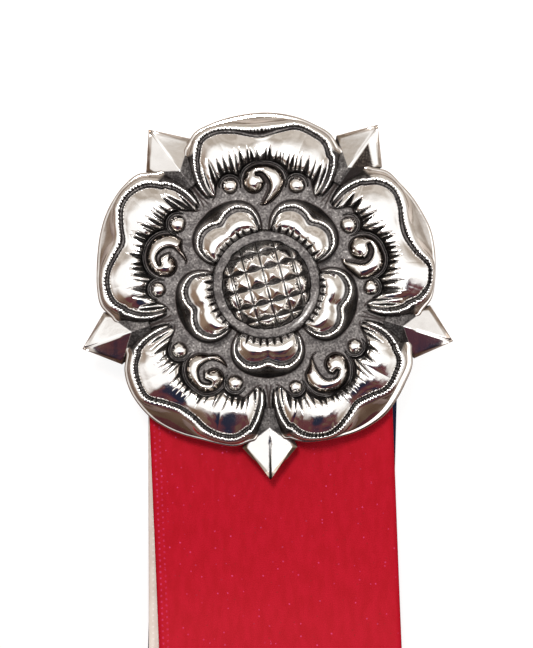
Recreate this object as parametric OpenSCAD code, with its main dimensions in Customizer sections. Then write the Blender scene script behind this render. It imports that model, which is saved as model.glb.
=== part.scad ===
// Silver rose brooch with three hanging ribbons, lying on its pin with the rose's face up.
// The origin is under the middle of the whole brooch, on the surface that it lies on.
// The rose's top points to +Y and its face to +Z.

/* [Rose] */
// Radius of the circle through the five sepal tips
tip_r = 20; // [19:0.5:24]
// Turn of the whole rose about its middle, anticlockwise
rose_turn = 1.2; // [-4:0.1:4]
// Height of the flat ground between the petals above the rose's back
field_h = 1.6; // [1.4:0.1:1.8]
// Height of the middle boss above the rose's back, without its pyramids
boss_h = 5; // [4.6:0.1:6]
// Thickness of the silver over the hollow back
wall = 1; // [0.8:0.1:1.1]

/* [Ribbons] */
// Width of each ribbon
ribbon_w = 25; // [16:1:25]
// Thickness of each ribbon
ribbon_t = 1; // [1:0.1:1.4]
// How far the ribbons hang below the rose's middle
ribbon_drop = 39.2; // [32:0.2:80]
// How far they reach above the rose's middle, behind it
ribbon_top = 9; // [8:0.5:10]

/* [Pin] */
// Diameter of the pin's stem
stem_d = 1; // [0.8:0.1:1.4]
// Clear gap between the stem and the bar, which the cloth fills
cloth_gap = 1.5; // [1:0.1:2.5]
// Height of the pin's line above the rose's middle
pin_up = 5.5; // [4:0.5:6]

/* [Hidden] */

k = tip_r / 20; // the tables below are for a rose of 20 mm tip radius
petals = 5;
pitch_a = 360 / petals;
gap = 0.15; // between pieces that lie on each other
steps = 2; // stations between two rows of a table

// Half of an outer petal, from its middle to its inner end. Columns: rim angle, rim radius, rim to crest,
// inner angle, inner radius, bulge height, share of the full height
outer_rows = [
    [0, 17.7, 1.75, 0, 12.9, 3.15, 1],
    [9, 17.7, 1.3, 7, 12.8, 3.4, 1],
    [18, 17.4, 0.8, 12, 12.5, 3.55, 1],
    [25.5, 17, 0.65, 15.5, 12.35, 3.5, 1],
    [30.2, 16.1, 0.55, 20.4, 12, 3.35, 1],
    [33.3, 14.67, 0.5, 23.9, 11.6, 3.15, 1],
    [35.3, 13, 0.45, 26.3, 11.05, 2.95, 0.97],
    [35.6, 11.6, 0.4, 29, 10.5, 2.75, 0.9],
    [34.6, 10.3, 0.25, 31.4, 10.3, 2.6, 0.75],
];

// Half of an inner petal, with the same columns
inner_rows = [
    [0, 9.55, 1.4, 0, 5.45, 4.3, 1],
    [7, 9.48, 0.95, 5, 5.45, 4.4, 1],
    [14, 9.32, 0.6, 10.5, 5.45, 4.5, 1],
    [21, 8.95, 0.55, 16, 5.45, 4.45, 1],
    [27, 8.25, 0.5, 20.5, 5.45, 4.35, 1],
    [31.2, 7.2, 0.45, 24.5, 5.5, 4.2, 0.97],
    [32.6, 6.2, 0.35, 28, 5.55, 4, 0.93],
    [32, 5.5, 0.15, 30.4, 5.45, 3.8, 0.88],
];

// Across a petal, from its rim to its inner edge. Columns: share of the way from rim to crest, share of the
// way on from the crest, fixed height, share of the bulge height that is added
outer_profile = [
    [0, 0, 0, 0],
    [0, 0, 1.3, 0],
    [0.5, 0, 2.1, 0],
    [1, 0, 2.95, 0],
    [1, 0.11, 2.45, 0],
    [1, 0.24, 0, 0.93],
    [1, 0.45, 0, 1],
    [1, 0.7, 0.3, 0.78],
    [1, 0.9, 0.7, 0.45],
    [1, 1, 1.4, 0],
    [1, 1, 0, 0],
];
inner_profile = [
    [0, 0, 0, 0],
    [0, 0, 1.5, 0],
    [0.45, 0, 3.2, 0],
    [1, 0, 4.15, 0],
    [1, 0.14, 3.7, 0],
    [1, 0.3, 0, 0.95],
    [1, 0.55, 0, 1],
    [1, 0.82, 0.2, 0.85],
    [1, 1, 2.9, 0],
    [1, 1, 0, 0],
];

// Scroll in the mouth of an outer petal, about its own middle, from its tail to its bulb. Columns: turn,
// radius, half width, height above the ground
scroll_rows = [
    [-98, 2, 0.12, 0.35],
    [-72, 1.65, 0.4, 0.75],
    [-37, 1.4, 0.64, 1.15],
    [0, 1.32, 0.74, 1.35],
    [45, 1.25, 0.72, 1.45],
    [90, 1.3, 0.62, 1.42],
    [125, 1.42, 0.6, 1.35],
    [158, 1.5, 0.5, 1.2],
];
scroll_out = 10.7; // from the rose's middle to the scroll's
scroll_sides = 5;
bulb = [-1, 10.65, 1.12, 1.5]; // across, outwards, radius, height above the ground
bead = [3.5, 10.35, 0.76, 1.1]; // the same for a bead, one on each side

// A sepal between two outer petals
sepal_edge_h = 0.85;
sepal_side = [2.85, 16.7];
sepal_apex = [14.7, 2.3]; // outwards, height
sepal_root = [1.2, 12.6];

boss_r = 4.55;
ring_r = 5.6; // flat ring round the boss
ring_h = 2.6;
cells = 6; // pyramids across the boss
cell_pitch = 1.8;
cell_turn = 14;
pyramid_h = 0.6;
ground_r = 13.6;

// Rounded pockets in the back, under each half of an outer and an inner petal, and under the boss. Columns:
// across, outwards, radius, height
outer_pocket = [[1.4, 14.7, 1.3, 2], [4.9, 13.3, 1.4, 2.3]];
inner_pocket = [[0.6, 6.95, 1.2, 3.1], [2.4, 6.7, 1.2, 3.2]];
boss_pocket_r = 4;
recess_r = 14.4;

// Ribbons: turn of the hanging end to the right, and middle line's place across at the rose's middle
red_lie = [2.27, -0.06];
white_lie = [0, 0.35];
blue_lie = [-1.4, 1.19];
bend_start = -9; // where the ribbons begin to sink to the surface, from the rose's middle
bend_end = -35;
bend_steps = 10;

foot_x = 15.1 * k;
foot = [1.8, 3]; // across, along the rose
bar_t = 0.8;
stem_z = stem_d / 2 + 0.4;
bar_z = stem_z + stem_d / 2 + cloth_gap;
layer = ribbon_t + gap;
blue_z = bar_z + bar_t + gap;
white_z = blue_z + layer;
red_z = white_z + layer;
rose_z = red_z + layer;
petal_reach = 17.7 * k;
rose_y = (ribbon_drop - petal_reach) / 2;

function polar(a, r) = [r * sin(a), r * cos(a)];
function blend(p0, p1, p2, p3, t) = 0.5 * (2 * p1 + (p2 - p0) * t + (2 * p0 - 5 * p1 + 4 * p2 - p3) * t ^ 2
    + (3 * p1 - p0 - 3 * p2 + p3) * t ^ 3);
// A smooth run through a table's rows, with n stations from each row to the next
function run_through(rows, n) = let (last = len(rows) - 1) concat(
    [for (i = [0:last - 1]) for (j = [0:n - 1])
        blend(rows[max(i - 1, 0)], rows[i], rows[i + 1], rows[min(i + 2, last)], j / n)],
    [rows[last]]
);
function mirrored(row) = [-row[0], row[1], row[2], -row[3], row[4], row[5], row[6]];
// All of a petal's rows, from its right end round to its left end
function whole(rows) = concat([for (i = [len(rows) - 1:-1:1]) rows[i]], [for (row = rows) mirrored(row)]);

// Height of a petal's surface at one place across it
function petal_z(row, place) = row[6] * (place[2] + place[3] * row[5]);
// One section across a petal, from its rim to its inner edge
function petal_section(row, profile) =
    let (rim = polar(row[0], row[1]), inside = polar(row[3], row[4]), span = norm(inside - rim))
    [for (place = profile)
        let (way = (place[0] * row[2] + place[1] * (span - row[2])) / span, p = rim + (inside - rim) * way)
        [p[0] * k, p[1] * k, petal_z(row, place)]];

// A closed solid through sections that have the same number of points
module loft(sections) {
    m = len(sections[0]);
    n = len(sections);
    sides = [for (i = [0:n - 2]) for (j = [0:m - 1]) for (half = [0, 1])
        half == 0
            ? [i * m + j, i * m + (j + 1) % m, (i + 1) * m + j]
            : [i * m + (j + 1) % m, (i + 1) * m + (j + 1) % m, (i + 1) * m + j]];
    ends = [[for (j = [m - 1:-1:0]) j], [for (j = [0:m - 1]) (n - 1) * m + j]];
    polyhedron(points = [for (s = sections) for (p = s) p], faces = concat(sides, ends));
}

module petal(rows, profile) {
    loft([for (row = run_through(whole(rows), steps)) petal_section(row, profile)]);
}

module each_petal(offset_a = 0) {
    for (i = [0:petals - 1]) rotate([0, 0, i * pitch_a + offset_a]) children();
}

// A low round button, half sunk in the ground
module button(place, sides) {
    hull() translate([place[0] * k, place[1] * k, field_h]) scale([k, k, place[3] / place[2]])
        sphere(r = place[2], $fn = sides);
}

// Half an ellipse, standing on the ground, across the scroll's line
function scroll_section(row) =
    let (out = [cos(row[0]), sin(row[0])], middle = [0, scroll_out] + row[1] * out)
    concat(
        [for (i = [0:scroll_sides])
            let (a = 180 * i / scroll_sides, p = (middle + row[2] * cos(a) * out) * k)
            [p[0], p[1], field_h + row[3] * sin(a)]],
        [for (side = [-1, 1]) let (p = (middle + side * row[2] * out) * k) [p[0], p[1], wall]]
    );

module scroll() {
    loft([for (row = run_through(scroll_rows, steps)) scroll_section(row)]);
    button(bulb, 16);
}

module sepal() {
    hull() {
        linear_extrude(sepal_edge_h) polygon(k * [
            [0, 20], sepal_side, sepal_root, [-sepal_root[0], sepal_root[1]], [-sepal_side[0], sepal_side[1]]
        ]);
        for (out = [sepal_root[1], sepal_apex[0]])
            translate([0, out * k, 0]) cylinder(r1 = 0.4, r2 = 0.02, h = sepal_apex[1], $fn = 6);
    }
}

// The boss is part of a ball; its pyramids stand on a square net whose pitch is taken along the ball
function ball_r() = (boss_r ^ 2 + (boss_h - ring_h) ^ 2) / (2 * (boss_h - ring_h));
function net(i) = ball_r() * sin(min(max(i * cell_pitch / ball_r() * 180 / PI, -80), 80));
function ball_z(p) = boss_h - ball_r() + sqrt(max(ball_r() ^ 2 - p[0] ^ 2 - p[1] ^ 2, 0));
function net_point(i, j, lift) = let (p = [net(i - cells / 2), net(j - cells / 2)])
    [p[0] * k, p[1] * k, max(ball_z(p) + lift, wall)];

module boss() {
    row = cells + 1;
    corners = [for (i = [0:cells]) for (j = [0:cells]) net_point(i, j, 0)];
    tips = [for (i = [0:cells - 1]) for (j = [0:cells - 1]) net_point(i + 0.5, j + 0.5, pyramid_h)];
    feet = [for (p = corners) [p[0], p[1], 0]];
    slopes = [for (i = [0:cells - 1]) for (j = [0:cells - 1])
        let (a = i * row + j, ring = [a, a + 1, a + row + 1, a + row], tip = row * row + i * cells + j)
        for (q = [0:3]) [ring[q], ring[(q + 1) % 4], tip]];
    low = row * row + cells * cells;
    base = [for (i = [0:cells - 1]) for (j = [0:cells - 1])
        let (a = low + i * row + j) [a, a + row, a + row + 1, a + 1]];
    edge = concat(
        [for (j = [0:cells - 1]) j], [for (i = [0:cells - 1]) i * row + cells],
        [for (j = [cells:-1:1]) cells * row + j], [for (i = [cells:-1:1]) i * row]
    );
    skirt = [for (e = [0:len(edge) - 1])
        let (a = edge[e], b = edge[(e + 1) % len(edge)]) [b, a, low + a, low + b]];
    intersection() {
        rotate([0, 0, cell_turn])
            polyhedron(points = concat(corners, tips, feet), faces = concat(slopes, base, skirt));
        cylinder(r = boss_r * k, h = boss_h + 2, $fn = 40);
    }
}

module pockets(rows) {
    for (side = [0, 1]) mirror([side, 0, 0]) hull() for (row = rows)
        translate([row[0] * k, row[1] * k, 0]) scale([k, k, row[3] / row[2]]) sphere(r = row[2], $fn = 10);
}

module hollow_back() {
    translate([0, 0, -1]) cylinder(r = recess_r * k, h = 1 + field_h - wall, $fn = 60);
    each_petal() pockets(outer_pocket);
    each_petal(pitch_a / 2) pockets(inner_pocket);
    scale([k, k, (boss_h - wall) / boss_pocket_r]) sphere(r = boss_pocket_r, $fn = 20);
}

module rose() {
    color("silver") translate([0, rose_y, rose_z]) rotate([0, 0, rose_turn]) difference() {
        union() {
            cylinder(r = ground_r * k, h = field_h, $fn = 60);
            cylinder(r = ring_r * k, h = ring_h, $fn = 60);
            each_petal() petal(outer_rows, outer_profile);
            each_petal() scroll();
            each_petal() for (side = [-1, 1]) button([side * bead[0], bead[1], bead[2], bead[3]], 12);
            each_petal(pitch_a / 2) petal(inner_rows, inner_profile);
            each_petal(pitch_a / 2) sepal();
            boss();
        }
        hollow_back();
    }
}

// Height of a ribbon's underside at y, measured from the rose's middle, as it sinks from high to low
function sink(y) = let (t = min(max((bend_start - y) / (bend_start - bend_end), 0), 1)) t * t * (3 - 2 * t);
function ribbon_line(high, low, end) = [
    [ribbon_top, high],
    for (i = [0:bend_steps]) let (y = bend_start + (bend_end - bend_start) * i / bend_steps)
        [y, high + (low - high) * sink(y)],
    [end, low]
];

// lie: turn and place across. high and low: the underside's heights behind the rose and at the free end
module ribbon(lie, high, low) {
    end = -(ribbon_drop - ribbon_w / 2 * sin(abs(lie[0]))) / cos(lie[0]);
    under = ribbon_line(high, low, end);
    outline = concat(under, [for (i = [len(under) - 1:-1:0]) under[i] + [0, ribbon_t]]);
    translate([lie[1], rose_y, 0]) rotate([0, 0, lie[0]]) rotate([90, 0, 90])
        linear_extrude(ribbon_w, center = true) polygon(outline);
}

module ribbon_red() {
    color("crimson") ribbon(red_lie, red_z, 2 * layer);
}

module ribbon_white() {
    color("ivory") ribbon(white_lie, white_z, layer);
}

module ribbon_blue() {
    color("midnightblue") ribbon(blue_lie, blue_z, 0);
}

// Two feet that reach up to the rose's rim outside the ribbons, the bar under the ribbons and the stem
module pin() {
    color("lightgray") translate([0, rose_y + pin_up, 0]) {
        for (side = [-1, 1]) translate([side * foot_x - foot[0] / 2, -foot[1] / 2, 0])
            cube([foot[0], foot[1], rose_z - gap]);
        translate([-foot_x, -foot[1] / 2, bar_z]) cube([2 * foot_x, foot[1], bar_t]);
        translate([-foot_x, 0, stem_z]) rotate([0, 90, 0]) cylinder(d = stem_d, h = 2 * foot_x, $fn = 32);
    }
}

rose();
ribbon_red();
ribbon_white();
ribbon_blue();
pin();
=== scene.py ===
import math

import bmesh
import bpy
import numpy as np
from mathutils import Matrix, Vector
from mathutils.kdtree import KDTree


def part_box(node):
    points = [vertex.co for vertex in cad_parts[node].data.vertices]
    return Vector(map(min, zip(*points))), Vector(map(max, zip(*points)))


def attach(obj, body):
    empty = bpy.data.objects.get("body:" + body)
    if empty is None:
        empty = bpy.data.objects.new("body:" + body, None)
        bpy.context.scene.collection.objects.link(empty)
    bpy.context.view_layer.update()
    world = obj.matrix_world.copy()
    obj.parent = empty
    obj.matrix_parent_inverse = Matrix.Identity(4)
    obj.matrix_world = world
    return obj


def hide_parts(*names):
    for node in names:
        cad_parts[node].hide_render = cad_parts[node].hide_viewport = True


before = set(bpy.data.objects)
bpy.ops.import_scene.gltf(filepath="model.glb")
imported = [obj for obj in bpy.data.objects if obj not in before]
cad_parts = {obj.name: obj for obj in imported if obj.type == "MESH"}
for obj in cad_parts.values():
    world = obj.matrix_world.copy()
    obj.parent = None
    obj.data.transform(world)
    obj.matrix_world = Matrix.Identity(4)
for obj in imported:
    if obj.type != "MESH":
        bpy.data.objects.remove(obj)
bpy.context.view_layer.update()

mm = 0.001

# The rose's middle, from its box: the top petal's rim is 17.7 mm above it
rimRadius = 17.7
roseLow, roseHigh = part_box("rose")
rose = {
    "petals": 5,
    "turn": 1.2,  # degrees, anticlockwise
    "ground": 1.6,  # height of the flat ground above the rose's back
    "sunk": 0.5,  # how far the scrolls and the beads go on into the ground
    "y": roseHigh.y / mm - rimRadius,
    "z": roseLow.z / mm,
}


def addObject(name, data):
    thing = bpy.data.objects.new(name, data)
    bpy.context.scene.collection.objects.link(thing)
    return thing


# Camera: straight above, as in the photograph. Lengths in mm
cameraPlan = {
    "across": 66.5,  # of the object along the picture's long side
    "belowRose": 4.02,  # how far below the rose's middle it aims
    "distance": 1200.0,
    "level": 9.0,  # height at which the picture's scale is true
    "sensor": 36.0,
}


def makeCamera(plan):
    data = bpy.data.cameras.new("camera")
    data.sensor_width = plan["sensor"]
    data.lens = plan["sensor"] * plan["distance"] / plan["across"]
    data.clip_start = 0.05
    data.clip_end = 20
    camera = addObject("camera", data)
    camera.location = (0, (rose["y"] - plan["belowRose"]) * mm, (plan["distance"] + plan["level"]) * mm)
    bpy.context.scene.camera = camera


makeCamera(cameraPlan)
print("camera set")


# A node's output with operators, so that shader maths reads as an expression
class Field:
    def __init__(self, tree, socket=None):
        self.tree = tree
        self.socket = socket

    def make(self, kind, settings={}, values={}, outlet=0):
        node = self.tree.nodes.new("ShaderNode" + kind)
        for key, value in settings.items():
            setattr(node, key, value)
        for key, value in values.items():
            self.feed(node.inputs[key], value)
        return Field(self.tree, node.outputs[outlet])

    def feed(self, socket, value):
        if isinstance(value, Field):
            self.tree.links.new(value.socket, socket)
        elif socket.type == "RGBA":
            socket.default_value = (*value, 1)
        else:
            socket.default_value = value

    def maths(self, operation, a, b=0.0):
        return self.make("Math", {"operation": operation}, {0: a, 1: b})

    def __add__(self, other):
        return self.maths("ADD", self, other)

    __radd__ = __add__

    def __sub__(self, other):
        return self.maths("SUBTRACT", self, other)

    def __rsub__(self, other):
        return self.maths("SUBTRACT", other, self)

    def __mul__(self, other):
        return self.maths("MULTIPLY", self, other)

    __rmul__ = __mul__

    def __abs__(self):
        return self.maths("ABSOLUTE", self)

    def larger(self, other):
        return self.maths("MAXIMUM", self, other)

    def wave(self):
        return self.maths("COSINE", self)

    def rise(self, low, high):  # 0 below low, 1 above high, smooth between
        return self.make("MapRange", {"interpolation_type": "SMOOTHSTEP"}, {0: self, 1: low, 2: high})

    def blend(self, low, high):  # one colour at 0, the other at 1
        return self.make("Mix", {"data_type": "RGBA"}, {0: self, 6: low, 7: high}, 2)

    def parts(self, count=2):
        return [self.make("SeparateXYZ", values={0: self}, outlet=i) for i in range(count)]

    def stretch(self, scale, turn=0.0):
        return self.make("Mapping", values={"Vector": self, "Rotation": (0, 0, turn), "Scale": scale})

    def noise(self, scale, detail):
        return self.make("TexNoise", values={"Vector": self, "Scale": scale, "Detail": detail})

    def bump(self, distance, strength):
        return self.make("Bump", values={"Height": self, "Distance": distance, "Strength": strength})


# The studio that the silver mirrors: white overhead, beige behind, brown at the sides, a dark shape in front
studioPlan = {
    "white": (1.1, 1.09, 1.08),
    "beige": (0.66, 0.605, 0.55),
    "sand": (0.42, 0.36, 0.305),
    "brown": (0.27, 0.185, 0.13),
    "deep": (0.13, 0.08, 0.055),
    "navy": (0.016, 0.019, 0.04),
    "maroon": (0.115, 0.033, 0.04),
    "darkOval": (0.07, 0.6, 0.64, 0.33),  # the shape's middle across and upwards, half width, half height
}


def makeStudio(plan):
    world = bpy.data.worlds.new("studio")
    world.use_nodes = True
    bpy.context.scene.world = world
    air = Field(world.node_tree)
    direction = air.make("TexCoord")
    x, y, z = direction.parts(3)
    ripple = direction.noise(6.0, 4.0) - 0.5
    patch = direction.noise(3.4, 2.0) - 0.5
    front = (0 - y).larger(0.0)
    height = z - y.larger(0.0) * 0.5 - front * 0.42 + x.larger(0.0) * 0.12 + ripple * 0.1
    side = (0 - y * 0.9 - x * 0.5).rise(-0.3, 0.6)
    beige = (patch + ripple * 0.6).rise(-0.14, 0.14).blend(plan["beige"], plan["sand"])
    horizon = (0 - y + patch * 0.4).rise(0.35, 0.85).blend(side.blend(beige, plan["brown"]), plan["deep"])
    sky = height.rise(0.33, 0.66).blend(horizon, plan["white"])
    middleX, middleZ, halfX, halfZ = plan["darkOval"]
    across = (x - middleX) * (1 / halfX)
    upward = (z - middleZ) * (1 / halfZ)
    reach = across * across + upward * upward + ripple * 0.9
    shape = (1 - reach.rise(0.7, 1.0)) * front.rise(0.2, 0.3)
    fringe = (reach * 0.4 + patch * 1.3 + 0.25 - abs(z - 0.58) * 1.5).rise(0.0, 0.3)
    dark = fringe.blend(plan["navy"], plan["maroon"])
    dark = (patch + ripple * 0.5).rise(0.06, 0.2).blend(dark, plan["deep"])
    sky = air.make("LightPath").blend(shape.blend(sky, dark), (1, 1, 1))
    air.feed(world.node_tree.nodes["Background"].inputs["Color"], sky)
    bpy.context.scene.view_settings.view_transform = "Standard"


makeStudio(studioPlan)

# Lamps: place in mm, size in mm and power in watts. They face the origin
lamps = {
    "key": {"place": (-80, 230, 850), "size": 150, "power": 6.0, "colour": (1, 0.98, 0.96)},
    "fill": {"place": (220, -60, 800), "size": 500, "power": 1.0, "colour": (1, 1, 1)},
}


def makeLamp(name, plan):
    data = bpy.data.lights.new(name, "AREA")
    data.size = plan["size"] * mm
    data.energy = plan["power"]
    data.color = plan["colour"]
    lamp = addObject(name, data)
    lamp.location = [c * mm for c in plan["place"]]
    lamp.rotation_mode = "QUATERNION"
    lamp.rotation_quaternion = (-Vector(plan["place"])).to_track_quat("-Z", "Y")


for lampName, lampPlan in lamps.items():
    makeLamp(lampName, lampPlan)


def newMaterial(name):
    material = bpy.data.materials.new(name)
    material.use_nodes = True
    return material, Field(material.node_tree)


def setShader(material, values):
    inputs = material.node_tree.nodes["Principled BSDF"].inputs
    for name, value in values.items():
        Field(material.node_tree).feed(inputs[name], value)


def flatGrid(name, rows, columns, size):
    grid = bmesh.new()
    bmesh.ops.create_grid(grid, x_segments=rows, y_segments=columns, size=size)
    mesh = bpy.data.meshes.new(name)
    grid.to_mesh(mesh)
    grid.free()
    return mesh


# The silver mirrors the floor, beige behind the rose and brown in front. The camera sees it nearly white
floorPlan = {
    "half": 1500,
    "behind": (0.52, 0.47, 0.43),
    "front": (0.13, 0.085, 0.075),
    "turn": (-40, 45),  # mm in front of and behind the rose's middle, where the one becomes the other
    "glow": (0.86, 0.875, 0.88),
}


def makeFloor(plan):
    material, paint = newMaterial("pale_floor")
    x, y = paint.make("TexCoord", outlet=3).parts()
    front, behind = [(rose["y"] + reach) * mm for reach in plan["turn"]]
    setShader(material, {
        "Base Color": (y + x * 0.35).rise(front, behind).blend(plan["front"], plan["behind"]),
        "Roughness": 0.8,
        "Emission Color": paint.make("LightPath").blend((0, 0, 0), plan["glow"]),
        "Emission Strength": 1.0,
    })
    mesh = flatGrid("floor", 8, 8, plan["half"] * mm)
    mesh.materials.append(material)
    floor = addObject("floor", mesh)


makeFloor(floorPlan)
print("studio and floor set")

silverPlan = {
    "bright": (0.96, 0.94, 0.915),
    "shade": (0.33, 0.265, 0.215),
    "darkGrey": (0.036, 0.0325, 0.032),
    "grey": (0.094, 0.087, 0.084),
    "paleGrey": (0.34, 0.32, 0.31),
    "black": (0.024, 0.019, 0.018),
    "polish": 0.11,  # roughness of the bright silver
    "dull": 0.46,  # and of the darkened silver
}


# Polished silver that is darkened where the marks say: shade is a brown painted shade, the grey mark is grey
# oxide and in places painted shade, the black mark is black oxide and painted shade in the crevices
def makeSilver(plan):
    material, paint = newMaterial("polished_silver")
    place = paint.make("TexCoord", outlet=3)
    greyOxideAndShade, blackOxideAndShade, shade = [
        paint.make("Attribute", {"attribute_name": mark}, outlet=2) for mark in ("greyOxideAndShade", "blackOxideAndShade", "shade")
    ]
    fine = place.noise(5200.0, 3.0)
    wide = place.noise(900.0, 2.0)
    broad = place.noise(1000.0, 2.0)
    # worn is the grey, dull share from the grey mark, black the black share: oxide, and painted shade where
    # the marks carry it
    worn = (greyOxideAndShade + (fine - 0.5) * 0.25).rise(0.3, 0.6)
    black = (blackOxideAndShade + (fine - 0.5) * 0.35).rise(0.3, 0.8)
    sparkle = fine.rise(0.6, 0.75) * wide.rise(0.42, 0.62)
    grey = (fine * 0.6 + wide * 0.4).rise(0.42, 0.58).blend(plan["darkGrey"], plan["grey"])
    grey = sparkle.blend(grey, plan["paleGrey"])
    bright = (shade + (wide - 0.5) * shade).blend(plan["bright"], plan["shade"])
    rough = worn * (plan["dull"] - plan["polish"]) + plan["polish"] + wide.rise(0.4, 0.8) * 0.03
    setShader(material, {
        "Base Color": black.blend(worn.blend(bright, grey), plan["black"]),
        "Metallic": 1.0,
        "Roughness": rough.larger(black * 0.6),
        "Normal": (fine * worn + broad * 1.2).bump(0.00003, 0.5),
    })
    return material


silver = makeSilver(silverPlan)


def finishPiece(mesh, material, replaced):
    mesh.materials.append(material)
    mesh.shade_smooth()
    piece = addObject(mesh.name, mesh)
    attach(piece, "root")
    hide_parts(replaced)
    return piece


# A smooth run through the rows of a table, at places counted in rows
def blendRows(rows, places):
    table = np.array(rows, float)
    first = np.clip(np.floor(places).astype(int), 0, len(table) - 2)
    t = (places - first)[..., None]
    a = table[np.maximum(first - 1, 0)]
    b = table[first]
    c = table[first + 1]
    d = table[np.minimum(first + 2, len(table) - 1)]
    return 0.5 * (2 * b + (c - a) * t + (2 * a - 5 * b + 4 * c - d) * t**2 + (3 * b - a - 3 * c + d) * t**3)


# Places in a table, one of whose columns says in how many steps each row runs to the next
def stepPlaces(rows, column):
    steps = [row[column] for row in rows[:-1]]
    return np.concatenate([[i + s / n for s in range(n)] for i, n in enumerate(steps)] + [[len(steps)]])


# Length of a line up to each of its points
def wayAlong(points):
    return np.concatenate([[0], np.cumsum(np.linalg.norm(np.diff(points, axis=0), axis=1))])


def smooth(x, low, high):
    t = np.clip((x - low) / (high - low), 0, 1)
    return t * t * (3 - 2 * t)


def bell(x, middle, width):
    return np.exp(-(((x - middle) / width) ** 2))


def stacked(*parts):
    return np.stack(np.broadcast_arrays(*parts), -1)


def polar(degrees, radius):
    a = np.radians(degrees)
    return stacked(radius * np.sin(a), radius * np.cos(a))


def turned(x, y, degrees):  # anticlockwise
    a = math.radians(degrees)
    return x * math.cos(a) - y * math.sin(a), x * math.sin(a) + y * math.cos(a)


# Points in mm in a petal's own frame, which points to +Y, are turned into the rose and made metres
def intoRose(points, degrees):
    x, y = turned(points[..., 0], points[..., 1], degrees + rose["turn"])
    return stacked(x, y + rose["y"], points[..., 2] + rose["z"]) * mm


def vertexPlaces(mesh):
    flat = np.empty(len(mesh.vertices) * 3, np.float32)
    mesh.vertices.foreach_get("co", flat)
    return flat.reshape(-1, 3)


def openShell(mesh):
    shell = bmesh.new()
    shell.from_mesh(mesh)
    return shell


# What is open is capped, all faces are turned outwards, and the mesh gets the result
def closeShell(shell, mesh):
    caps = bmesh.ops.holes_fill(shell, edges=[e for e in shell.edges if e.is_boundary], sides=0)["faces"]
    bmesh.ops.triangulate(shell, faces=caps)
    bmesh.ops.recalc_face_normals(shell, faces=shell.faces)
    shell.to_mesh(mesh)
    shell.free()


# A grid whose rows and columns are moved to the given points; where its edges meet they are welded
def moldedGrid(name, points, marks, capped=True):
    rows, columns = points.shape[:2]
    mesh = flatGrid(name, rows - 1, columns - 1, 1)
    unit = (vertexPlaces(mesh)[:, :2] + 1) / 2
    i, j = np.rint(unit * (rows - 1, columns - 1)).astype(int).T
    mesh.vertices.foreach_set("co", points[i, j].astype(np.float32).ravel())
    for mark, values in marks.items():
        layer = mesh.attributes.new(mark, "FLOAT", "POINT")
        spread = np.broadcast_to(values, (rows, columns))[i, j]
        layer.data.foreach_set("value", np.clip(spread, 0, 1).astype(np.float32))
    if capped:
        shell = openShell(mesh)
        bmesh.ops.remove_doubles(shell, verts=shell.verts, dist=1e-7)
        closeShell(shell, mesh)
    return mesh


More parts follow.
